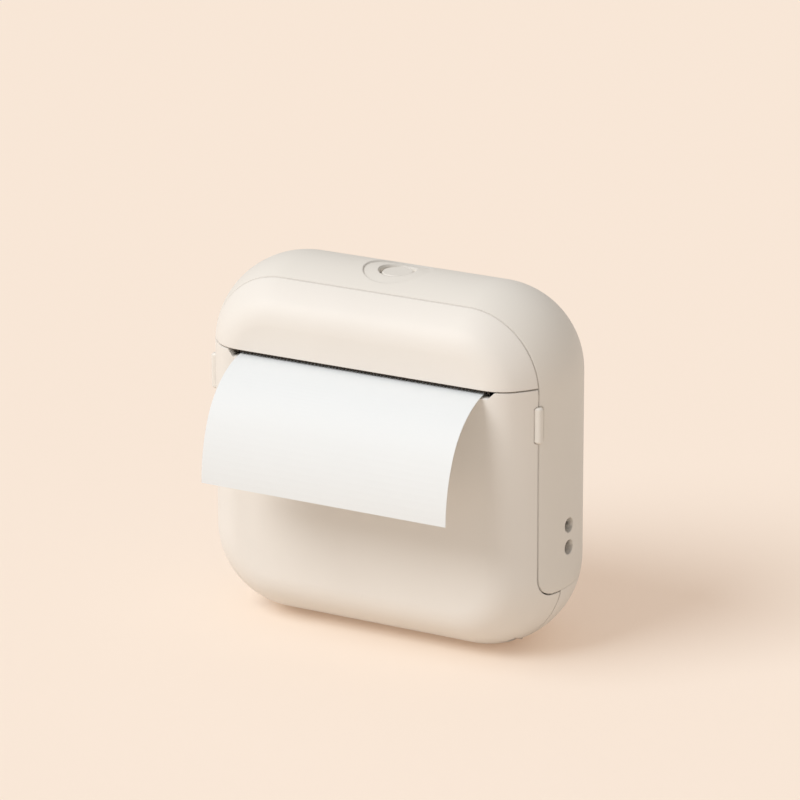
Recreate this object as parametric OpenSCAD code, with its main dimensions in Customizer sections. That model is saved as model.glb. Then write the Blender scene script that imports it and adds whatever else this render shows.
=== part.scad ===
// Pocket thermal printer standing on its base.
// The front cover turns down on hinge pins near the base for loading the roll.
// x runs right, y runs back, z runs up, with the origin in the middle of the base.

/* [Body] */
// Width over both sides
body_w = 80; // [79:0.5:84]
// Depth from front face to back face
body_d = 33; // [33:0.2:34]
// Height above the base
body_h = 75.9; // [75.7:0.1:76.2]
// Corner radius seen from the front
corner_r = 18.5; // [18:0.5:19]
// Radius of the crowned top, sides and base, seen in section
crown_r = 20; // [20:0.5:21]
// Radius where the crown turns into the front and back faces
edge_r = 8; // [7.5:0.5:8.5]
// Thickness of the moulded walls
wall = 1.8; // [1.6:0.1:1.9]
// Depth cut off the crowned underside to make the flat base
base_cut = 0.2; // [0.2:0.05:0.4]

/* [Seams] */
// Depth of the cap and cover in front of the band
front_d = 6.65; // [6.5:0.05:6.7]
// Gap between the cover, the cap and the band
seam_gap = 0.3; // [0.3:0.05:0.4]
// Height of the lower edge of the cap
slot_z = 58.8; // [58.6:0.1:59]
// Height of the lower ends of the band
tongue_z = 14.3; // [13.8:0.1:14.6]
// Corner radius of the lower ends of the band
tongue_r = 4; // [3.5:0.5:5]
// How far the cover reaches back under the band
wrap_d = 6.5; // [6.4:0.1:6.6]
// Gap of the fine seam under the band
fine_gap = 0.3; // [0.25:0.05:0.4]
// Thickness of the lip that carries the band and the cap
lip_t = 1.1; // [1:0.1:1.2]

/* [Slot] */
// Width of the notch in the top edge of the cover
notch_w = 58.5; // [58:0.5:60]
// Depth of the notch
notch_h = 1.7; // [1.7:0.1:1.9]
// Thickness of the tear bar
tear_t = 0.5; // [0.4:0.1:0.6]
// Pitch of its teeth
tear_pitch = 0.8; // [0.8:0.1:1]

/* [Paper] */
// Paper width
paper_w = 56; // [54:1:57]
// Paper thickness
paper_t = 0.1; // [0.08:0.01:0.12]
// Radius of the first part of the curl
curl_a_r = 18; // [18:0.5:19]
// Angle the first part turns through
curl_a_deg = 66; // [60:2:70]
// Radius of the second part of the curl
curl_b_r = 31; // [28:1:34]
// Angle the second part turns through
curl_b_deg = 24; // [20:1:26]
// Radius of the full roll
roll_r = 12; // [11:0.5:12.2]
// Radius of the hole in the core
core_r = 4; // [3.5:0.5:5]
// Height of the middle of the roll
roll_z = 32.6; // [32.5:0.1:32.9]

/* [Platen and gears] */
// Radius of the rubber sleeve
platen_r = 3.9; // [3.8:0.05:3.9]
// Radius of the platen shaft
shaft_r = 1; // [0.9:0.05:1.1]
// Gear module
gear_m = 0.5; // [0.5:0.01:0.51]
// Teeth of the platen gear
platen_teeth = 16; // [16:1:16]
// Teeth of the idler gear
idler_teeth = 24; // [24:1:24]
// Teeth of the motor pinion
pinion_teeth = 12; // [12:1:12]
// Radius of the stepper motor
motor_r = 6; // [5.6:0.1:6]
// Angle of the nip back from the top of the platen
nip_deg = 45; // [44:1:46]

/* [Button and tabs] */
// Diameter of the round dish in the top
dish_d = 14.2; // [13.8:0.1:14.8]
// Depth of the dish below the crown
dish_h = 0.35; // [0.25:0.05:0.5]
// Diameter of the raised cap of the power button
button_d = 6.5; // [6.2:0.1:6.8]
// Diameter of the hole in the dish around the button
button_hole_d = 8; // [7.8:0.1:8.4]
// How far the cap lies below the middle of the dish
button_sink = 0.5; // [0.4:0.05:0.55]
// How far the rim around the cap lies below the cap
button_rim = 0.8; // [0.6:0.1:0.9]
// Travel of the button
button_travel = 0.5; // [0.4:0.1:0.5]
// Height of a release tab
tab_h = 7.5; // [7:0.1:8]
// Width of a release tab
tab_w = 1.7; // [1.6:0.1:1.8]
// Height of the middle of a release tab
tab_z = 51.1; // [50.6:0.1:51.6]
// Distance a tab stands out
tab_up = 0.8; // [0.7:0.05:0.85]

/* [Strap holes] */
// Diameter of a strap hole
strap_d = 3.1; // [3:0.1:3.4]
// Distance between the two holes
strap_pitch = 4.7; // [4.6:0.1:5]
// Height of the middle between the holes
strap_z = 25.5; // [23:0.1:26]
// Distance of the holes in front of the middle of the body
strap_y = 1.3; // [0:0.1:2]

/* [Hidden] */
$fn = 96;
over = 60;
fit_clear = 0.05;
move_clear = 0.3;
half_w = body_w / 2;
half_d = body_d / 2;
pill_h = body_h + base_cut;
flank_w = body_w - 2 * corner_r;
flank_h = pill_h - 2 * corner_r;
edge_y = half_d - edge_r;
crown_c = corner_r - crown_r;
edge_c = crown_c + sqrt(pow(crown_r - edge_r, 2) - edge_y * edge_y);
edge_a = atan2(edge_y, edge_c - crown_c);
ray = over;
seam_y = front_d - half_d;
wrap_y = seam_y + wrap_d;
hinge_y = wrap_y;
hinge_z = 3;
knuckle_half = 32.4;
barrel_r = 2.2;
knuckle_r = 3.3;
pin_r = 0.8;
knuckle_x = 24;
knuckle_l = 8;
platen_y = -8.8;
skin_y = half_d - wall;
path_r = platen_r + 0.1;
platen_top = slot_z - 0.75;
platen_z = platen_top - path_r;
roll_y = -1.2;
cradle_t = 1.2;
cradle_r = roll_r + 0.3;
rub_x = 28.2;
ear_x = 28.7;
ear_t = 1.2;
gear_x = 30.2;
gear_t = 1.4;
plate_x = 28.9;
plate_t = 1;
head_half = 28.5;
bush_r = 2.2;
axle_r = 0.8;
mesh_extra = 0.08;
platen_pr = gear_m * platen_teeth / 2;
idler_pr = gear_m * idler_teeth / 2;
pinion_pr = gear_m * pinion_teeth / 2;
motor_y = 7.5;
motor_z = 60.6;
motor_l = 10;
span_pi = platen_pr + idler_pr + mesh_extra;
span_im = idler_pr + pinion_pr + mesh_extra;
pm_y = motor_y - platen_y;
pm_z = motor_z - platen_z;
pm_d = sqrt(pm_y * pm_y + pm_z * pm_z);
pm_a = (span_pi * span_pi - span_im * span_im + pm_d * pm_d) / (2 * pm_d);
pm_h = sqrt(span_pi * span_pi - pm_a * pm_a);
idler_y = platen_y + (pm_a * pm_y + pm_h * pm_z) / pm_d;
idler_z = platen_z + (pm_a * pm_z - pm_h * pm_y) / pm_d;
ang_pi = atan2(idler_z - platen_z, idler_y - platen_y);
ang_im = atan2(motor_z - idler_z, motor_y - idler_y);
idler_turn = ang_pi + 180 + 180 / idler_teeth;
mesh_at = (ang_im - ang_pi - 180) * idler_teeth / 360;
mesh_frac = mesh_at - floor(mesh_at);
pinion_turn = ang_im + 180 + mesh_frac * 360 / pinion_teeth;
rq_y = roll_y - platen_y;
rq_z = roll_z - platen_z;
rq_d = sqrt(rq_y * rq_y + rq_z * rq_z);
web_a = atan2(rq_z, rq_y) + acos((path_r - roll_r - fit_clear) / rq_d);
web_y0 = platen_y + path_r * cos(web_a);
web_z0 = platen_z + path_r * sin(web_a);
web_y1 = roll_y + (roll_r + fit_clear) * cos(web_a);
web_z1 = roll_z + (roll_r + fit_clear) * sin(web_a);
web_l = sqrt(pow(web_y1 - web_y0, 2) + pow(web_z1 - web_z0, 2));
exit_in = 4.2;
exit_y = exit_in - half_d;
ca_z = platen_top - curl_a_r;
curl_mid_y = exit_y - curl_a_r * sin(curl_a_deg);
curl_mid_z = ca_z + curl_a_r * cos(curl_a_deg);
cb_y = curl_mid_y + curl_b_r * sin(curl_a_deg);
cb_z = curl_mid_z - curl_b_r * cos(curl_a_deg);
dish_z = body_h - dish_h;
button_skirt_d = button_hole_d - 0.4;
button_bevel = 0.25;
stem_r = 1.5;
button_z = dish_z - button_sink;
flange_z = 72.7;
flange_t = 0.7;
board_y = 9.4;
board_t = 1;
board_x = -28;
board_z = 47.1;
board_w = 39.5;
board_h = 19;
chip_t = 1;
coil_t = 1.5;
cell_l = 48;
plate_top = 67.6;
cell_r = 7;
cell_y = 6;
cell_z = 11.1;
screw_x = 22;
tc_y = seam_y + seam_gap / 2 + tongue_r;
tc_z = tongue_z + seam_gap / 2 + tongue_r;
tab_y = seam_y;
tab_cut = 0.35;
tab_clear = 0.1;
tab_foot_x = half_w - 6.6;
tab_foot_t = 1;
tab_foot_w = 3.4;
tab_foot_h = tab_h + 1.6;
socket_x = -18;
socket_z = 56.6;
socket_w = 9;
socket_h = 3.2;
screw_at = [[-27.5, 13.6], [27.5, 13.6], [-15, 62.6], [15, 62.6]];
screw_head_r = 1.9;
screw_head_h = 1;
screw_r = 1;
boss_r = 2.2;
post_at = [[-25, 50.1], [-25, 63.1], [8, 50.1], [8, 63.1]];
post_r = 1.6;
ear_pin_r = 2;
ear_pin_x = knuckle_x + knuckle_l / 2 + move_clear;
ear_pin_t = 2.2;
saddle_x = 15;
shelf_t = 1;
shelf_y = -13.3;
tear_n = 74;
tear_z = slot_z - 0.86;
tear_y = 0.5 - half_d;
tear_seat = 2;
tear_h = 0.65;
cheek_x = 28.6;
cheek_t = 1.2;
nip_y = platen_y + (path_r + paper_t / 2 + 0.03) * sin(nip_deg);
nip_z = platen_z + (path_r + paper_t / 2 + 0.03) * cos(nip_deg);
pivot_b = 5;
pivot_u = 4.5;
pivot_y = nip_y + pivot_b * cos(nip_deg) + pivot_u * sin(nip_deg);
pivot_z = nip_z - pivot_b * sin(nip_deg) + pivot_u * cos(nip_deg);
strip_t = 0.7;
sink_t = 2.5;
switch_h = 1.2;
stem_z = plate_top + 2 + switch_h + button_travel + 0.1;
tab_x = half_w - 2.55 + tab_up - tab_w / 2;

// Half section of the crowned body, r across and y along the depth, drawn in by s.
module crown_part(s) {
  intersection() {
    translate([crown_c, 0]) circle(r = crown_r - s);
    polygon([[0, s - half_d], [edge_c, s - half_d], [edge_c, -edge_y],
      [edge_c + ray * cos(edge_a), -edge_y - ray * sin(edge_a)],
      [edge_c + 2 * ray, 0],
      [edge_c + ray * cos(edge_a), edge_y + ray * sin(edge_a)],
      [edge_c, edge_y], [edge_c, half_d - s], [0, half_d - s]]);
  }
}

// One rounded edge of the section: a sector that meets the crown on a straight line.
module edge_part(s) {
  intersection() {
    translate([edge_c, edge_y]) circle(r = edge_r - s);
    polygon([[edge_c, edge_y], [edge_c + ray * cos(edge_a), edge_y + ray * sin(edge_a)],
      [edge_c, edge_y + ray]]);
  }
}

module half_section(s) {
  crown_part(s);
  edge_part(s);
  mirror([0, 1]) edge_part(s);
}

module corner(s) {
  translate([flank_w / 2, 0, flank_h / 2])
    rotate([90, 0, 0])
    rotate_extrude(angle = 90)
    half_section(s);
}

module side_prism(s) {
  translate([flank_w / 2, 0, -flank_h / 2])
    linear_extrude(height = flank_h)
    half_section(s);
}

module top_prism(s) {
  translate([0, 0, flank_h / 2])
    rotate([0, -90, 0])
    linear_extrude(height = flank_w, center = true)
    half_section(s);
}

// The crowned body drawn in by s, flat at the base.
module body_form(s) {
  intersection() {
    translate([0, 0, pill_h / 2 - base_cut]) {
      cube([flank_w, body_d - 2 * s, flank_h], center = true);
      side_prism(s);
      mirror([1, 0, 0]) side_prism(s);
      top_prism(s);
      mirror([0, 0, 1]) top_prism(s);
      corner(s);
      mirror([1, 0, 0]) corner(s);
      mirror([0, 0, 1]) corner(s);
      mirror([1, 0, 0]) mirror([0, 0, 1]) corner(s);
    }
    translate([-over, -over, 0]) cube([2 * over, 2 * over, 2 * over]);
  }
}

// Takes a shape drawn across y and z and carries it w wide along x, centred.
module across(w) {
  rotate([90, 0, 90]) linear_extrude(height = w, center = true) children();
}

// The same, from x0 to x0 + w.
module across_from(x0, w) {
  translate([x0 + w / 2, 0, 0]) across(w) children();
}

module both_sides() {
  children();
  mirror([1, 0, 0]) children();
}

module rod(x0, l, y, z, r) {
  translate([x0, y, z]) rotate([0, 90, 0]) cylinder(h = l, r = r);
}

// Outlines across y and z that part the shells from each other.

module tongue_round(r) {
  translate([tc_y, tc_z]) circle(r = r);
}

module cover_outline() {
  translate([-over, -over]) square([over + seam_y - seam_gap / 2, over + slot_z - seam_gap]);
  translate([-over, -over]) square([over + wrap_y - fine_gap / 2, over + tongue_z - seam_gap / 2]);
  difference() {
    translate([seam_y - seam_gap / 2, tongue_z - seam_gap / 2]) square(tongue_r + seam_gap);
    tongue_round(tongue_r + seam_gap);
  }
}

// Round edge of the cover about its hinge pins, within the flat part of the underside.
module knuckle(r) {
  across(2 * knuckle_half) translate([hinge_y, hinge_z]) circle(r = r);
}

module band_outline() {
  translate([seam_y + seam_gap / 2, tc_z]) square([-2 * seam_y - seam_gap / 2, over * 2]);
  translate([tc_y, tc_z - tongue_r]) square([-seam_y - tc_y, tongue_r]);
  intersection() {
    tongue_round(tongue_r);
    translate([tc_y - tongue_r, tc_z - tongue_r]) square(tongue_r);
  }
}

module cap_outline() {
  translate([-over, slot_z]) square([over + seam_y - seam_gap / 2, over]);
}

module rear_outline() {
  translate([-seam_y, -over]) square([over, 3 * over]);
  translate([wrap_y + fine_gap / 2, -over])
    square([over, over + tongue_z + seam_gap / 2 - fit_clear]);
}

// A release tab seen from the side, grown by g, with its corners cut at 45 degrees.
module tab_outline(g) {
  w = tab_w / 2 + g;
  h = tab_h / 2 + g;
  translate([tab_y, tab_z])
    polygon([[-w, tab_cut - h], [tab_cut - w, -h], [w - tab_cut, -h], [w, tab_cut - h],
      [w, h - tab_cut], [w - tab_cut, h], [tab_cut - w, h], [-w, h - tab_cut]]);
}

module tab_openings() {
  both_sides() across_from(tab_foot_x, half_w) tab_outline(tab_clear);
}

// Stadium seen from behind, for the charging socket.
module socket_outline(g) {
  translate([socket_x - socket_w / 2 + socket_h / 2, socket_z]) circle(d = socket_h + 2 * g);
  translate([socket_x + socket_w / 2 - socket_h / 2, socket_z]) circle(d = socket_h + 2 * g);
  translate([socket_x - socket_w / 2 + socket_h / 2, socket_z - socket_h / 2 - g])
    square([socket_w - socket_h, socket_h + 2 * g]);
}

module backward(y0, l) {
  translate([0, y0 + l, 0]) rotate([90, 0, 0]) linear_extrude(height = l) children();
}

module rear_inner() {
  intersection() {
    body_form(0.8);
    union() {
      for (p = screw_at)
        translate([p[0], board_y + board_t + 0.3, p[1]])
          rotate([-90, 0, 0])
          cylinder(h = half_d, r = boss_r);
      for (p = post_at)
        translate([p[0], board_y + board_t, p[1]])
          rotate([-90, 0, 0])
          cylinder(h = half_d, r = post_r);
      both_sides() across_from(saddle_x, 2) difference() {
        translate([2, 0]) square([half_d, 8]);
        translate([cell_y, cell_z]) circle(r = cell_r);
      }
      both_sides() across_from(ear_pin_x, ear_pin_t) {
        translate([hinge_y, hinge_z]) circle(r = ear_pin_r);
        translate([hinge_y, hinge_z - 1.8]) square([8, 3.6]);
      }
    }
  }
}

module rear_lip() {
  intersection() {
    difference() {
      body_form(wall);
      body_form(wall + lip_t);
    }
    across(body_w) {
      translate([-seam_y - 3, tongue_z - 4]) square([4.5, body_h]);
      translate([wrap_y + 1, tongue_z - 3]) square([-seam_y - wrap_y, 6]);
    }
  }
}

module rear_shell() {
  color([0.93, 0.9, 0.86])
  difference() {
    union() {
      intersection() {
        difference() {
          body_form(0);
          body_form(wall);
          knuckle(knuckle_r + move_clear);
        }
        across(2 * body_w) rear_outline();
      }
      rear_inner();
      rear_lip();
    }
    for (p = screw_at) {
      translate([p[0], 0, p[1]]) rotate([-90, 0, 0]) cylinder(h = body_d, r = screw_r);
      translate([p[0], half_d - 1.2, p[1]])
        rotate([-90, 0, 0])
        cylinder(h = 5, r = screw_head_r + 0.15);
    }
    backward(half_d - 4, 8) socket_outline(0.2);
    rod(-half_w, body_w, hinge_y, hinge_z, pin_r);
  }
}

// The dish follows the crown at an even depth.
module dish_cut() {
  difference() {
    translate([0, 0, body_h - 4]) cylinder(h = 6, d = dish_d);
    body_form(dish_h);
  }
}

module top_band() {
  color([0.93, 0.9, 0.86])
  difference() {
    intersection() {
      difference() {
        body_form(0);
        body_form(wall);
      }
      across(2 * body_w) band_outline();
    }
    dish_cut();
    translate([0, 0, body_h - 6]) cylinder(h = 9, d = button_hole_d);
    for (k = [-1, 1])
      rod(half_w - 6, 10, -strap_y, strap_z + k * strap_pitch / 2, strap_d / 2);
    tab_openings();
  }
}

module cap_lip() {
  intersection() {
    difference() {
      body_form(wall);
      body_form(wall + lip_t);
    }
    translate([-half_w, seam_y - 2, slot_z + 1]) cube([body_w, 5, body_h]);
  }
}

// The tear bar sits in a groove in the wall of the cap.
module top_cap() {
  color([0.94, 0.91, 0.87])
  difference() {
    union() {
      intersection() {
        difference() {
          body_form(0);
          body_form(wall);
        }
        across(2 * body_w) cap_outline();
      }
      cap_lip();
    }
    tear_bar_body();
  }
}

module notch_cut() {
  backward(-half_d - 2, 4 + wall)
    polygon([[-notch_w / 2 - notch_h, slot_z + 1], [notch_w / 2 + notch_h, slot_z + 1],
      [notch_w / 2 + notch_h, slot_z], [notch_w / 2, slot_z - notch_h],
      [-notch_w / 2, slot_z - notch_h], [-notch_w / 2 - notch_h, slot_z]]);
}

module cover_inner() {
  intersection() {
    body_form(0.8);
    union() {
      both_sides() across_from(ear_x, ear_t) {
        translate([-half_d, platen_z - 4.5]) square([half_d - 6.3, 7.4]);
      }
      translate([-notch_w / 2 - 1, -half_d, slot_z - notch_h - shelf_t])
        cube([notch_w + 2, half_d + shelf_y, shelf_t]);
      both_sides() rod(knuckle_x - knuckle_l / 2, knuckle_l, hinge_y, hinge_z, barrel_r);
    }
  }
}

module front_cover() {
  color([0.94, 0.91, 0.87])
  difference() {
    union() {
      intersection() {
        difference() {
          body_form(0);
          body_form(wall);
        }
        union() {
          across(2 * body_w) cover_outline();
          knuckle(knuckle_r);
        }
      }
      cover_inner();
    }
    notch_cut();
    both_sides() rod(ear_x - 1, ear_t + 2, platen_y, platen_z, bush_r);
    both_sides() rod(ear_pin_x - 0.3, ear_pin_t + 0.6, hinge_y, hinge_z, knuckle_r + move_clear);
    both_sides() rod(knuckle_x - 6, 12, hinge_y, hinge_z, pin_r + fit_clear);
    tab_openings();
  }
}

module tear_bar_body() {
  translate([-tear_n * tear_pitch / 2, tear_y, slot_z - 0.2])
    cube([tear_n * tear_pitch, tear_t, tear_seat + 0.2]);
}

module tear_bar() {
  color([0.25, 0.24, 0.23])
  union() {
    tear_bar_body();
    backward(tear_y, tear_t)
      polygon(concat([[-tear_n * tear_pitch / 2, slot_z - 0.1]],
        [for (i = [0 : tear_n - 1]) each [
          [(i - tear_n / 2) * tear_pitch, tear_z + tear_h],
          [(i + 0.5 - tear_n / 2) * tear_pitch, tear_z]]],
        [[tear_n * tear_pitch / 2, tear_z + tear_h], [tear_n * tear_pitch / 2, slot_z - 0.1]]));
  }
}

// Points of an arc across y and z in n steps, used for the bent paper.
function arc_points(cy, cz, r, a0, a1, n) =
  [for (i = [0 : n]) let (a = a0 + (a1 - a0) * i / n) [cy + r * cos(a), cz + r * sin(a)]];

// The path of the paper, drawn out by s: round the platen, out of the slot and down the curl.
function paper_path(s) = concat(
  arc_points(platen_y, platen_z, path_r + s, 90 - nip_deg, 90, 12),
  arc_points(exit_y, ca_z, curl_a_r + s, 90, 90 + curl_a_deg, 24),
  arc_points(cb_y, cb_z, curl_b_r + s, 91 + curl_a_deg, 90 + curl_a_deg + curl_b_deg, 9));

function reversed(points) = [for (i = [len(points) - 1 : -1 : 0]) points[i]];

module paper_strip() {
  color([0.97, 0.97, 0.96])
  across(paper_w)
    polygon(concat(paper_path(paper_t / 2), reversed(paper_path(-paper_t / 2))));
}

module paper_web() {
  color([0.97, 0.97, 0.96])
  across(paper_w)
    translate([web_y0, web_z0])
    rotate(web_a - 90)
    translate([0.8, -paper_t / 2])
    square([web_l - 0.8, paper_t]);
}

module paper_roll() {
  color([0.96, 0.96, 0.95])
  across(paper_w + 0.6)
    translate([roll_y, roll_z])
    difference() {
      circle(r = roll_r);
      circle(r = core_r + 1);
    }
}

module roll_core() {
  color([0.75, 0.66, 0.5])
  across(paper_w + 0.6)
    translate([roll_y, roll_z])
    difference() {
      circle(r = core_r + 1);
      circle(r = core_r);
    }
}

module half_plane() {
  translate([roll_y, roll_z]) rotate(-45) translate([0, -over]) square([over, 2 * over]);
}

module roll_cradle() {
  color([0.3, 0.3, 0.32])
  union() {
    across(2 * cheek_x) {
      intersection() {
        translate([roll_y, roll_z]) difference() {
          circle(r = cradle_r + cradle_t);
          circle(r = cradle_r);
        }
        half_plane();
      }
      difference() {
        translate([roll_y, roll_z - 2]) square([skin_y - roll_y, 4]);
        translate([roll_y, roll_z]) circle(r = cradle_r + cradle_t / 2);
      }
    }
    both_sides() across_from(cheek_x, cheek_t) intersection() {
      translate([roll_y, roll_z]) difference() {
        circle(r = cradle_r + cradle_t);
        circle(r = core_r);
      }
      half_plane();
    }
  }
}

module platen_rubber() {
  color([0.13, 0.13, 0.13])
  difference() {
    rod(-rub_x, 2 * rub_x, platen_y, platen_z, platen_r);
    rod(-rub_x - 1, 2 * rub_x + 2, platen_y, platen_z, shaft_r);
  }
}

module platen_shaft() {
  color([0.75, 0.75, 0.77])
  rod(-gear_x, 2 * gear_x + gear_t + 0.3, platen_y, platen_z, shaft_r);
}

module platen_bushings() {
  color([0.9, 0.88, 0.8])
  both_sides() difference() {
    rod(ear_x, ear_t, platen_y, platen_z, bush_r);
    rod(ear_x - 1, ear_t + 2, platen_y, platen_z, shaft_r + fit_clear);
  }
}

// Straight-sided gear outline with n teeth, one tooth centred at angle 0.
module gear_outline(n) {
  pr = gear_m * n / 2;
  root = pr - gear_m;
  tip = pr + 0.8 * gear_m;
  wr = 1.9 * gear_m / root * 90 / PI;
  wt = 0.7 * gear_m / tip * 90 / PI;
  polygon([for (i = [0 : n - 1]) let (c = i * 360 / n) each [
    [root * cos(c - wr), root * sin(c - wr)],
    [tip * cos(c - wt), tip * sin(c - wt)],
    [tip * cos(c + wt), tip * sin(c + wt)],
    [root * cos(c + wr), root * sin(c + wr)]]]);
}

module gear(n, y, z, turn, bore) {
  across_from(gear_x, gear_t)
    translate([y, z])
    rotate(turn)
    difference() {
      gear_outline(n);
      circle(r = bore);
    }
}

module platen_gear() {
  color([0.85, 0.85, 0.82])
  gear(platen_teeth, platen_y, platen_z, ang_pi, shaft_r);
}

module idler_gear() {
  color([0.85, 0.85, 0.82])
  gear(idler_teeth, idler_y, idler_z, idler_turn, axle_r + fit_clear);
}

module motor_pinion() {
  color([0.8, 0.68, 0.35])
  gear(pinion_teeth, motor_y, motor_z, pinion_turn, axle_r - fit_clear);
}

module idler_axle() {
  color([0.75, 0.75, 0.77])
  rod(plate_x, gear_x + gear_t + 0.3 - plate_x, idler_y, idler_z, axle_r);
}

module head_frame() {
  translate([nip_y, nip_z]) rotate(-nip_deg) children();
}

module head_strip() {
  color([0.88, 0.87, 0.83])
  across(2 * head_half) head_frame() translate([-2.6, 0]) square([6, strip_t]);
}

module head_sink() {
  color([0.7, 0.71, 0.73])
  difference() {
    union() {
      across(2 * head_half) head_frame() translate([-2.6, strip_t]) square([9.6, sink_t]);
      both_sides() across_from(head_half - 1.2, 1.2) head_frame() {
        translate([pivot_b - 1.4, strip_t]) square([2.8, pivot_u - strip_t]);
        translate([pivot_b, pivot_u]) circle(r = 1.4);
      }
    }
    rod(-head_half - 1, 2 * head_half + 2, pivot_y, pivot_z, axle_r);
  }
}

module head_pins() {
  color([0.75, 0.75, 0.77])
  both_sides() rod(head_half - 1.2, plate_x + plate_t + 1.2 - head_half, pivot_y, pivot_z, axle_r);
}

module head_spring() {
  color([0.72, 0.72, 0.74])
  across(12) polygon([[-3.4, plate_top], [-3.1, plate_top], [-3.1, 61.4], [-4.3, 60.2],
    [-4.5, 60.45], [-3.4, 61.55]]);
}

module print_chassis() {
  color([0.28, 0.28, 0.3])
  difference() {
    union() {
      both_sides() across_from(plate_x, plate_t)
        polygon([[-2.5, 50.1], [14.4, 50.1], [14.4, 56.6], [13, 58.6], [13, 62.6], [8, plate_top + 1],
          [-4, plate_top + 1], [-4, 62.6], [-2.5, 60.6]]);
      translate([-plate_x - plate_t, -4, plate_top]) cube([2 * (plate_x + plate_t), 12, 1]);
    }
    rod(-half_w, body_w, pivot_y, pivot_z, axle_r + fit_clear);
    rod(0, half_w, idler_y, idler_z, axle_r);
    rod(0, half_w, motor_y, motor_z, axle_r + 0.2);
  }
}

module motor() {
  color([0.7, 0.7, 0.72])
  difference() {
    rod(plate_x - motor_l, motor_l, motor_y, motor_z, motor_r);
    rod(plate_x - 4, 5, motor_y, motor_z, axle_r);
  }
}

module motor_shaft() {
  color([0.75, 0.75, 0.77])
  rod(plate_x - 3.8, gear_x + gear_t + 4.1 - plate_x, motor_y, motor_z, axle_r - fit_clear);
}

module main_board() {
  color([0.1, 0.35, 0.2])
  translate([board_x, board_y, board_z]) cube([board_w, board_t, board_h]);
}

// Each chip as its place on the board from the lower left corner, its width and its height.
chip_at = [[14, 4.5, 8, 8], [2, 3.5, 6, 5], [28, 8.5, 5, 6]];
coil_at = [25, 1.5, 8, 3];

module on_board(c, t) {
  translate([board_x + c[0], board_y - t, board_z + c[1]]) cube([c[2], t, c[3]]);
}

module board_chips() {
  color([0.08, 0.08, 0.09])
  union() {
    for (c = chip_at) on_board(c, chip_t);
    on_board(coil_at, coil_t);
  }
}

module charge_socket() {
  color([0.72, 0.73, 0.75])
  difference() {
    backward(board_y + board_t, half_d - 0.5 - board_y - board_t) socket_outline(0);
    backward(board_y + board_t + 1.5, half_d) socket_outline(-0.4);
  }
}

module battery_cell() {
  color([0.2, 0.35, 0.6])
  rod(-cell_l / 2, cell_l, cell_y, cell_z, cell_r);
}

module button_board() {
  color([0.1, 0.35, 0.2])
  translate([-9, -4, plate_top + 1]) cube([18, 9, 1]);
}

module tact_switch() {
  color([0.12, 0.12, 0.12])
  union() {
    translate([-2, -2, plate_top + 2]) cube([4, 4, switch_h - 0.3]);
    translate([0, 0, plate_top + 2]) cylinder(h = switch_h, r = 1.2);
  }
}

// The raised cap of the button, a lower rim around it, a flange under the wall and a stem.
module power_button() {
  color([0.93, 0.9, 0.86])
  union() {
    translate([0, 0, flange_z - flange_t]) cylinder(h = flange_t, d = button_hole_d + 1.4);
    translate([0, 0, flange_z]) cylinder(h = button_z - button_rim - flange_z, d = button_skirt_d);
    translate([0, 0, flange_z]) cylinder(h = button_z - button_bevel - flange_z, d = button_d);
    translate([0, 0, button_z - button_bevel])
      cylinder(h = button_bevel, d1 = button_d, d2 = button_d - 2 * button_bevel);
    translate([0, 0, stem_z]) cylinder(h = flange_z - flange_t / 2 - stem_z, r = stem_r);
  }
}

// A release tab is a round bar along the seam on a flat shank with a foot behind the wall.
module tab_right() {
  color([0.93, 0.9, 0.86])
  union() {
    translate([tab_x, tab_y, tab_z - tab_h / 2 + tab_cut]) {
      cylinder(h = tab_h - 2 * tab_cut, d = tab_w);
      translate([0, 0, tab_h - 2 * tab_cut])
        cylinder(h = tab_cut, d1 = tab_w, d2 = tab_w - 2 * tab_cut);
      mirror([0, 0, 1]) cylinder(h = tab_cut, d1 = tab_w, d2 = tab_w - 2 * tab_cut);
    }
    across_from(tab_foot_x, tab_x - tab_foot_x) tab_outline(0);
    translate([tab_foot_x, tab_y - tab_w / 2, tab_z - tab_foot_h / 2])
      cube([tab_foot_t, tab_foot_w, tab_foot_h]);
  }
}

module tab_left() {
  mirror([1, 0, 0]) tab_right();
}

module hinge_pins() {
  color([0.75, 0.75, 0.77])
  both_sides() rod(knuckle_x - 3, ear_pin_x + ear_pin_t + 3 - knuckle_x, hinge_y, hinge_z, pin_r);
}

module casing_screws() {
  color([0.6, 0.6, 0.62])
  for (p = screw_at) translate([p[0], 0, p[1]]) rotate([-90, 0, 0]) difference() {
    union() {
      translate([0, 0, board_y + board_t + 0.5]) cylinder(h = half_d - board_y - board_t - 1.6, r = screw_r);
      translate([0, 0, half_d - 1.2]) cylinder(h = screw_head_h, r = screw_head_r);
    }
    translate([-0.2, -1.1, half_d - 0.6]) cube([0.4, 2.2, 1]);
    translate([-1.1, -0.2, half_d - 0.6]) cube([2.2, 0.4, 1]);
  }
}

rear_shell();
top_band();
top_cap();
front_cover();
tear_bar();
paper_strip();
paper_web();
paper_roll();
roll_core();
roll_cradle();
platen_rubber();
platen_shaft();
platen_gear();
platen_bushings();
print_chassis();
head_sink();
head_strip();
head_pins();
head_spring();
idler_gear();
idler_axle();
motor();
motor_shaft();
motor_pinion();
main_board();
board_chips();
charge_socket();
battery_cell();
button_board();
tact_switch();
power_button();
tab_right();
tab_left();
hinge_pins();
casing_screws();
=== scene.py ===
# %% [markdown]
# # Pocket thermal printer
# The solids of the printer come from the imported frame, in metres, with the middle of the flat
# base at the origin. Everything made here is placed in that same frame, so nothing is fitted by eye.

# %% Load the frame
import bpy, bmesh, math
from mathutils import Matrix, Vector


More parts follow.
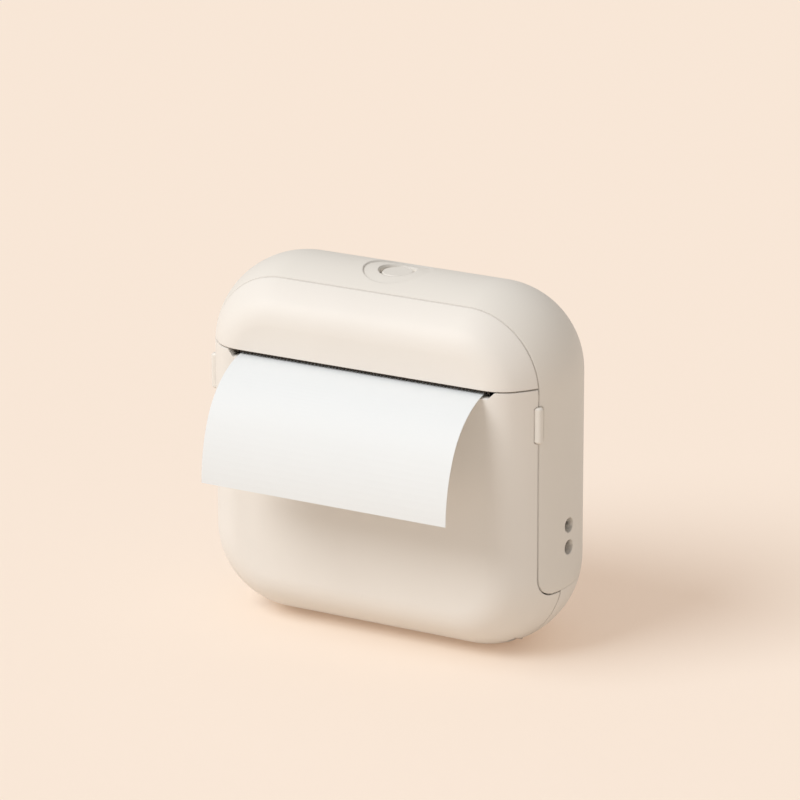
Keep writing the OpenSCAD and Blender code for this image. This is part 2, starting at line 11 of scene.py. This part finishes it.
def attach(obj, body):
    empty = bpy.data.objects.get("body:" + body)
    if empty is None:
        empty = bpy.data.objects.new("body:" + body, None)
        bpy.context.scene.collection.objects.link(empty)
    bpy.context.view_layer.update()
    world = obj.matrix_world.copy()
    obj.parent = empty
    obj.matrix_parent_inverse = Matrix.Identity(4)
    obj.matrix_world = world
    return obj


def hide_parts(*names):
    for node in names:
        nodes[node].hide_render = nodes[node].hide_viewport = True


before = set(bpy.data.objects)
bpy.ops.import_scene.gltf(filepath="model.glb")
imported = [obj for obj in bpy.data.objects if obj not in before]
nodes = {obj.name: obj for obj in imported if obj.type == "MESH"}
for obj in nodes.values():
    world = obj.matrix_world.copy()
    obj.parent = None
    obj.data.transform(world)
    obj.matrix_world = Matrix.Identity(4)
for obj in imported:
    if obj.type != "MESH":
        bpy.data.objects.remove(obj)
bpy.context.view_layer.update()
mm = 0.001

# %% [markdown]
# ## Camera
# The product shot was taken with a long lens, so lines that run away from the viewer hardly
# converge. The place, angle and lens below were fitted to the outline and the seams of the housing.

# %% Place the camera
def add_camera(place, azimuth, elevation, roll, lens):
    data = bpy.data.cameras.new("camera")
    data.lens = lens
    data.sensor_width = 36
    data.clip_start = 0.05
    data.clip_end = 50
    cam = bpy.data.objects.new("camera", data)
    bpy.context.scene.collection.objects.link(cam)
    turn = (Matrix.Rotation(math.radians(azimuth), 4, "Z")
            @ Matrix.Rotation(math.radians(90 - elevation), 4, "X")
            @ Matrix.Rotation(math.radians(roll), 4, "Z"))
    cam.matrix_world = Matrix.Translation(place) @ turn
    bpy.context.scene.camera = cam
    return cam

camera = add_camera(place=Vector((438.15, -788.83, 346.33)) * mm,
                    azimuth=29.026, elevation=18.316, roll=-0.164, lens=209.7)
bpy.context.scene.view_settings.view_transform = "Standard"
print("camera at", [round(v, 3) for v in camera.location])

# %% [markdown]
# ## Light
# A product shot like this one has a big white soft box far off at the upper left. A sun with a
# wide angle gives the same light evenly over the whole floor: its angle sets how soft the shadow
# is. The world is a faint warm fill, so the right side falls into a warm half shade.

# %% Set the lamps
def add_sun(name, towards, strength, angle, colour=(1, 1, 1)):
    data = bpy.data.lights.new(name, "SUN")
    data.energy = strength
    data.angle = math.radians(angle)
    data.color = colour
    lamp = bpy.data.objects.new(name, data)
    bpy.context.scene.collection.objects.link(lamp)
    lamp.rotation_euler = Vector(towards).to_track_quat("-Z", "Y").to_euler()
    return lamp

def fill_light(colour, strength):
    world = bpy.data.worlds.new("studio")
    bpy.context.scene.world = world
    world.use_nodes = True
    background = world.node_tree.nodes["Background"]
    background.inputs["Color"].default_value = (*colour, 1)
    background.inputs["Strength"].default_value = strength

add_sun("soft_box", towards=(0.72, 1.0, -1.22), strength=1.95, angle=36,
        colour=(0.955, 0.97, 0.985))
fill_light(colour=(1.0, 0.955, 0.91), strength=0.5)

# %% [markdown]
# ## Writing shader maths as Python
# A finish is a few numbers that change over the surface. The small class below wraps a socket,
# so that `rough = 0.5 + grain * 0.1` adds the Math nodes by itself. Adding and multiplying are
# all that the finishes below need.

# %% Shader helper
class Val:
    def __init__(self, tree, socket):
        self.tree, self.socket = tree, socket

    def _math(self, op, a, b):
        node = self.tree.nodes.new("ShaderNodeMath")
        node.operation = op
        for i, v in enumerate((a, b)):
            if isinstance(v, Val):
                self.tree.links.new(v.socket, node.inputs[i])
            else:
                node.inputs[i].default_value = v
        return Val(self.tree, node.outputs[0])

    def __add__(self, o): return self._math("ADD", self, o)
    def __radd__(self, o): return self._math("ADD", o, self)
    def __mul__(self, o): return self._math("MULTIPLY", self, o)
    def __rmul__(self, o): return self._math("MULTIPLY", o, self)


class Finish:
    """A material under construction: node() adds any node, set() feeds a shader socket."""

    def __init__(self, name):
        self.mat = bpy.data.materials.new(name)
        self.mat.use_nodes = True
        self.tree = self.mat.node_tree
        self.shader = self.tree.nodes["Principled BSDF"]
        self.coord = self.node("ShaderNodeTexCoord", out="Object")

    def node(self, kind, settings=None, values=None, out=0):
        n = self.tree.nodes.new(kind)
        for key, value in (settings or {}).items():
            setattr(n, key, value)
        for key, value in (values or {}).items():
            if isinstance(value, Val):
                self.tree.links.new(value.socket, n.inputs[key])
            else:
                n.inputs[key].default_value = value
        return Val(self.tree, n.outputs[out])

    def noise(self, scale, detail=2.0, rough=0.5, stretch=None):
        vector = self.coord
        if stretch:
            vector = self.node("ShaderNodeMapping", values={"Vector": self.coord, "Scale": stretch})
        return self.node("ShaderNodeTexNoise", values={
            "Vector": vector, "Scale": scale, "Detail": detail, "Roughness": rough})

    def mix(self, fac, a, b):
        """Colour a where fac is 0 and colour b where it is 1."""
        return self.node("ShaderNodeMix", {"data_type": "RGBA"}, {0: fac, 6: a, 7: b}, out=2)

    def set(self, **sockets):
        for key, value in sockets.items():
            socket = self.shader.inputs[key.replace("_", " ")]
            if isinstance(value, Val):
                self.tree.links.new(value.socket, socket)
            else:
                socket.default_value = value
        return self

    def bump(self, height, strength, distance, under=None):
        """Height as relief, laid over the normal that under gives."""
        values = {"Height": height, "Strength": strength, "Distance": distance}
        if under is not None:
            values["Normal"] = under
        self.set(Normal=self.node("ShaderNodeBump", None, values))
        return self

    def round_edges(self, radius):
        """A normal that turns softly over sharp edges, as if they had this radius."""
        return self.node("ShaderNodeBevel", {"samples": 6}, {"Radius": radius})


def srgb(r, g, b):
    """A colour read off in 0 to 255 as the linear values that the shader wants."""
    def lin(c):
        c = c / 255
        return c / 12.92 if c <= 0.04045 else ((c + 0.055) / 1.055) ** 2.4
    return (lin(r), lin(g), lin(b), 1)

def shade(colour, by):
    """The same colour with its light multiplied, for the dark end of a cloudy finish."""
    return tuple(c * by for c in colour[:3]) + (1,)

print("a warm white:", [round(v, 3) for v in srgb(236, 228, 218)])

# %% [markdown]
# ## Moulded plastic
# The housing is injection moulded in a warm ivory with a fine spark-eroded texture. Up close it
# is a field of tiny dimples; from a distance they only soften the highlight. The colour drifts by
# a few parts in a hundred. The Bevel node rounds the sharp edges along the seams: by 0.4 mm on the
# band, whose front edge catches the light, by 0.25 mm on the other shells and 0.2 mm on the keys.

# %% Ivory plastic
def moulded(name, colour, rough=0.52, dimples=0.12, edge=0.25 * mm):
    f = Finish(name)
    drift = f.node("ShaderNodeMapRange", None, {
        "Value": f.noise(38, 3), "From Min": 0.3, "From Max": 0.7})
    f.set(Base_Color=f.mix(drift, shade(colour, 0.965), colour))
    f.set(Roughness=rough - 0.04 + f.noise(420, 2) * 0.08)
    f.shader.inputs["Specular IOR Level"].default_value = 0.42
    f.bump(f.noise(5200, 1), dimples, 0.03 * mm, f.round_edges(edge))
    return f.mat

ivory = moulded("ivory_shell", srgb(238, 233, 226))
ivory_band = moulded("ivory_band", srgb(235, 230, 222), edge=0.4 * mm)
ivory_key = moulded("ivory_key", srgb(236, 231, 223), rough=0.45, edge=0.2 * mm)
print("plastics:", [m.name for m in (ivory, ivory_band, ivory_key)])

# %% [markdown]
# ## Thermal paper
# Thermal paper is coated, so it is smoother and cooler in colour than writing paper, with a
# faint cloudiness from the pulp when light grazes it.

# %% Paper
def paper_finish(name, colour):
    f = Finish(name)
    cloud = f.noise(160, 4, 0.6)
    f.set(Base_Color=f.mix(cloud, shade(colour, 0.975), colour))
    f.set(Roughness=0.55 + cloud * 0.12)
    f.shader.inputs["Specular IOR Level"].default_value = 0.3
    f.bump(f.noise(900, 3, 0.6), 0.12, 0.02 * mm)
    return f.mat

paper = paper_finish("thermal_paper", srgb(236, 239, 240))
print("paper:", paper.name)

# %% [markdown]
# ## Finishes inside
# The inside shows only when the cover is down: dark structural plastic, brushed and turned steel,
# black rubber, nylon gears, a green board and the printed sleeve of the cell. Two recipes make
# them all: metal draws its noise out along the way it was ground or turned, and plain is a soft
# cloud for everything else.

# %% Metal, rubber and the rest
def metal(name, colour, rough, stretch, edge=0.08 * mm):
    f = Finish(name)
    lines = f.noise(900, 2, 0.5, stretch)
    f.set(Base_Color=f.mix(lines, shade(colour, 0.86), colour))
    f.set(Roughness=rough - 0.06 + lines * 0.14, Metallic=1.0)
    f.bump(lines, 0.08, 0.02 * mm, f.round_edges(edge))
    return f.mat

def plain(name, colour, rough, scale, strength, edge=0.15 * mm, coat=0.0):
    f = Finish(name)
    patch = f.noise(scale, 3)
    f.set(Base_Color=f.mix(patch, shade(colour, 0.85), colour))
    f.set(Roughness=rough - 0.05 + patch * 0.1, Coat_Weight=coat)
    f.bump(f.noise(scale * 9, 2), strength, 0.02 * mm, f.round_edges(edge))
    return f.mat

steel = metal("ground_steel", srgb(196, 197, 200), 0.28, (0.05, 1, 1))
bright_steel = metal("turned_steel", srgb(214, 214, 216), 0.22, (1, 0.1, 0.1))
dark_steel = metal("blued_steel", srgb(70, 66, 62), 0.34, (1, 1, 0.1))
aluminium = metal("milled_aluminium", srgb(200, 202, 205), 0.32, (0.08, 1, 1))
brass = metal("pinion_brass", srgb(212, 176, 96), 0.26, (1, 0.3, 0.3))
frame_plastic = plain("frame_plastic", srgb(62, 62, 66), 0.55, 300, 0.15)
black_rubber = plain("platen_rubber", srgb(30, 30, 31), 0.72, 700, 0.25)
nylon = plain("gear_nylon", srgb(233, 231, 222), 0.42, 500, 0.06, 0.06 * mm)
ceramic = plain("head_glaze", srgb(226, 222, 212), 0.2, 250, 0.03, 0.1 * mm, 0.4)
board = plain("board_lacquer", srgb(28, 84, 54), 0.32, 900, 0.05, 0.05 * mm, 0.4)
chip = plain("chip_black", srgb(26, 26, 28), 0.5, 1500, 0.1, 0.06 * mm)
sleeve = plain("cell_sleeve", srgb(52, 88, 150), 0.3, 120, 0.04, 0.2 * mm, 0.3)
card = plain("core_card", srgb(176, 150, 112), 0.85, 260, 0.4)
print("materials so far:", len(bpy.data.materials))

# %% [markdown]
# ## Who wears what
# Every solid of the frame gets one of these finishes. Its mesh is left as it is, only its material
# slot is filled.

# %% Give each solid its finish
finish_of = {
    "rear_shell": ivory, "top_band": ivory_band, "top_cap": ivory, "front_cover": ivory,
    "power_button": ivory_key, "tab_right": ivory_key, "tab_left": ivory_key,
    "tear_bar": dark_steel, "paper_strip": paper, "paper_web": paper, "paper_roll": paper,
    "roll_core": card, "roll_cradle": frame_plastic, "print_chassis": frame_plastic,
    "platen_rubber": black_rubber, "platen_shaft": bright_steel, "platen_gear": nylon,
    "platen_bushings": nylon, "head_sink": aluminium, "head_strip": ceramic,
    "head_pins": bright_steel, "head_spring": steel, "idler_gear": nylon,
    "idler_axle": bright_steel, "motor": steel, "motor_shaft": bright_steel,
    "motor_pinion": brass, "main_board": board, "board_chips": chip, "charge_socket": steel,
    "battery_cell": sleeve, "button_board": board, "tact_switch": chip, "hinge_pins": bright_steel,
    "casing_screws": dark_steel}
for name, mat in finish_of.items():
    mesh = nodes[name].data
    mesh.materials.clear()
    mesh.materials.append(mat)
bare = sorted(set(nodes) - set(finish_of))
print("finishes on", len(finish_of), "of", len(nodes), "nodes; without:", bare)

# %% [markdown]
# ## A smooth skin for the housing
# A moulded shell has no facets, but a solid arrives as flat triangles. Each shell is copied, its
# doubles are merged, and the long edges that lie on the crowned skin are split and set back on the
# true curve. The true curve is simple: seen from the front a rectangle with round corners, and in
# section three arcs that meet without a kink. The same sums give each corner its exact normal.

# %% The crowned form as a formula
half_w, half_d = 40 * mm, 16.5 * mm
height, base_cut = 75.9 * mm, 0.2 * mm
corner_r, crown_r, edge_r = 18.5 * mm, 20 * mm, 8 * mm
wall, dish_h = 1.8 * mm, 0.35 * mm
flank_x = half_w - corner_r
flank_z = (height + base_cut) / 2 - corner_r
mid_z = (height + base_cut) / 2 - base_cut
crown_c = corner_r - crown_r
edge_y = half_d - edge_r
edge_c = crown_c + math.sqrt((crown_r - edge_r) ** 2 - edge_y ** 2)
edge_angle = math.atan2(edge_y, edge_c - crown_c)

def skin(p, inset):
    """Distance of p outside the crowned form drawn in by inset, and the way out.

    r is how far p lies, seen from the front, from the rectangle through the centres of the
    corners. Up to edge_angle the section is the crown's arc round crown_c, then the edge's arc
    round (edge_c, edge_y), and farther in the flat front or back."""
    dx = math.copysign(max(abs(p.x) - flank_x, 0), p.x)
    dz = math.copysign(max(abs(p.z - mid_z) - flank_z, 0), p.z - mid_z)
    r = math.hypot(dx, dz)
    side = math.copysign(1, p.y)
    y = abs(p.y)
    if abs(math.atan2(y, r - crown_c)) <= edge_angle:
        way, full = (r - crown_c, y), crown_r - inset
    elif r > edge_c:
        way, full = (r - edge_c, y - edge_y), edge_r - inset
    else:
        return y - (half_d - inset), Vector((0, side, 0))
    reach = math.hypot(*way)
    out, back = way[0] / reach, way[1] / reach * side
    if r < 1e-9:
        return reach - full, Vector((0, math.copysign(1, back), 0))
    return reach - full, Vector((dx / r * out, back, dz / r * out))

above = Vector((0, 0, height + 1 * mm))
print("1 mm above the top is", round(skin(above, 0)[0] / mm, 3), "mm outside the skin")

# %% [markdown]
# A shell has more faces than its skin: seams, ribs, holes and the cut of the base. So the faces
# that lie on the form are looked for first, on the outside, inside the wall and in the dish. A
# face counts if its corners touch the form and it doesn't stand across it.

# %% Find the faces that lie on it
skin_insets = (0.0, wall, dish_h)  # the outside, the inside of the wall, the floor of the dish
smallest_face = 1e-12

def on_skin(face, inset, near=0.04 * mm, middle_near=0.4 * mm, along=0.7):
    """True if the corners lie on the form drawn in by inset and the face follows it."""
    if any(abs(skin(v.co, inset)[0]) >= near for v in face.verts):
        return False
    gap, way = skin(face.calc_center_median(), inset)
    return abs(gap) < middle_near and abs(face.normal.dot(way)) > along

def mark_skins(bm):
    """Writes on each face 0, or 1 more than the place of its skin in skin_insets."""
    layer = bm.faces.layers.int.new("skin")
    bm.normal_update()
    for face in bm.faces:
        if face.calc_area() > smallest_face:
            for kind, inset in enumerate(skin_insets, start=1):
                if on_skin(face, inset):
                    face[layer] = kind
    return layer

print("skins drawn in by", [round(inset / mm, 2) for inset in skin_insets], "mm")

# %% [markdown]
# The long edges of the triangles are chords of the curve. Each one is split in the middle and the
# new point is moved out to the skin, four rounds over at most, until none of them cuts the curve by
# more than a few thousandths of a millimetre. An edge between two different skins is left alone,
# but the rim of a skin, where it meets a seam or the base, is split with it.

# %% Split long edges and set them back
longest_edge, slack = 1.6 * mm, 0.004 * mm

def middle(edge):
    return (edge.verts[0].co + edge.verts[1].co) / 2

def place_key(point):
    """A point rounded to a ten-thousandth of a millimetre, to find it again after the split."""
    return tuple(round(c / mm, 4) for c in point)

def chords(bm, layer):
    """Edges inside one skin that are too long and cut the curve by more than the slack."""
    found = []
    for edge in bm.edges:
        kinds = {face[layer] for face in edge.link_faces} - {0}
        if len(kinds) != 1 or edge.calc_length() < longest_edge:
            continue
        inset = skin_insets[kinds.pop() - 1]
        if abs(skin(middle(edge), inset)[0]) > slack:
            found.append((edge, inset))
    return found

def follow_curve(bm, layer, rounds=4):
    for turn in range(rounds):
        found = chords(bm, layer)
        if not found:
            break
        inset_at = {place_key(middle(edge)): inset for edge, inset in found}
        made = bmesh.ops.subdivide_edges(
            bm, edges=[edge for edge, inset in found], cuts=1, use_grid_fill=False)
        for point in made["geom_inner"]:
            if not isinstance(point, bmesh.types.BMVert):
                continue
            inset = inset_at.get(place_key(point.co))
            if inset is not None:
                gap, way = skin(point.co, inset)
                point.co -= way * gap
        bmesh.ops.triangulate(bm, faces=[face for face in bm.faces if len(face.verts) > 3])

print("edges up to", round(longest_edge / mm, 2), "mm stay whole")

# %% [markdown]
# A smooth face takes its light from the normals at its corners. On the skins they come from the
# formula, so neither the seams nor the holes bend the highlight. Elsewhere, an edge of more than 32
# degrees stays sharp.

# %% Give the corners their true normals
def true_normals(mesh, sharp=32):
    kinds = [d.value for d in mesh.attributes["skin"].data]
    mesh.set_sharp_from_angle(angle=math.radians(sharp))
    normals = [Vector(corner.vector) for corner in mesh.corner_normals]
    for poly in mesh.polygons:
        if kinds[poly.index]:
            inset = skin_insets[kinds[poly.index] - 1]
            outwards = -1 if inset == wall else 1
            for i in poly.loop_indices:
                corner = mesh.vertices[mesh.loops[i].vertex_index].co
                normals[i] = skin(corner, inset)[1] * outwards
    mesh.normals_split_custom_set(normals)
    mesh.attributes.remove(mesh.attributes["skin"])

def smooth_shell(name, body):
    """A smoothed copy of one shell that stands in for it and rides on its body."""
    source = nodes[name].data
    bm = bmesh.new()
    bm.from_mesh(source)
    bmesh.ops.remove_doubles(bm, verts=bm.verts, dist=1e-6)
    follow_curve(bm, mark_skins(bm))
    for face in bm.faces:
        face.smooth = True
    mesh = bpy.data.meshes.new(name + "_skin")
    bm.to_mesh(mesh)
    bm.free()
    true_normals(mesh)
    mesh.materials.append(finish_of[name])
    obj = bpy.data.objects.new(name + "_skin", mesh)
    bpy.context.scene.collection.objects.link(obj)
    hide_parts(name)
    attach(obj, body)
    print(name, len(source.polygons), "->", len(mesh.polygons), "triangles")

body_of_shell = {"front_cover": "cover", "top_cap": "housing",
                 "top_band": "housing", "rear_shell": "housing"}
for name, body in body_of_shell.items():
    smooth_shell(name, body)

# %% [markdown]
# ## Floor
# The set is one seamless peach sheet. The camera looks down on it everywhere in the frame, so a
# wide flat sheet is enough and the horizon never shows. To the camera, and in mirrors, about a
# third of its colour is its own peach glow over a paler sheet: where the printer keeps the lamp
# away, the glow is what stays, and so the shadow turns warm as it does on paper in a studio. The
# light that the sheet throws back onto the printer comes from the plain sheet alone.

# %% Lay the floor
def sheet_finish(glow):
    f = Finish("peach_sheet")
    seen = (f.node("ShaderNodeLightPath", out="Is Camera Ray")
            + f.node("ShaderNodeLightPath", out="Is Glossy Ray")
            + f.node("ShaderNodeLightPath", out="Is Transmission Ray"))
    f.set(Base_Color=f.mix(seen, srgb(249, 234, 219), srgb(255, 254, 247)),
          Roughness=0.88 + f.noise(6, 2) * 0.04)
    f.shader.inputs["Specular IOR Level"].default_value = 0.1
    light = f.node("ShaderNodeEmission", values={"Color": srgb(255, 208, 172), "Strength": 1.0})
    both = f.node("ShaderNodeMixShader", values={
        0: seen * glow, 1: Val(f.tree, f.shader.outputs[0]), 2: light})
    f.tree.links.new(both.socket, f.tree.nodes["Material Output"].inputs["Surface"])
    return f.mat

def lay_floor(half, below, glow):
    """A sheet twice half wide, a hair below the base so that the two never flicker."""
    bm = bmesh.new()
    bmesh.ops.create_grid(bm, x_segments=1, y_segments=1, size=half)
    bmesh.ops.translate(bm, verts=bm.verts, vec=(0, 0, -below))
    mesh = bpy.data.meshes.new("floor")
    bm.to_mesh(mesh)
    bm.free()
    obj = bpy.data.objects.new("floor", mesh)
    bpy.context.scene.collection.objects.link(obj)
    mesh.materials.append(sheet_finish(glow))
    return obj

floor = lay_floor(half=6, below=0.1 * mm, glow=0.35)
print("floor", floor.dimensions[:])
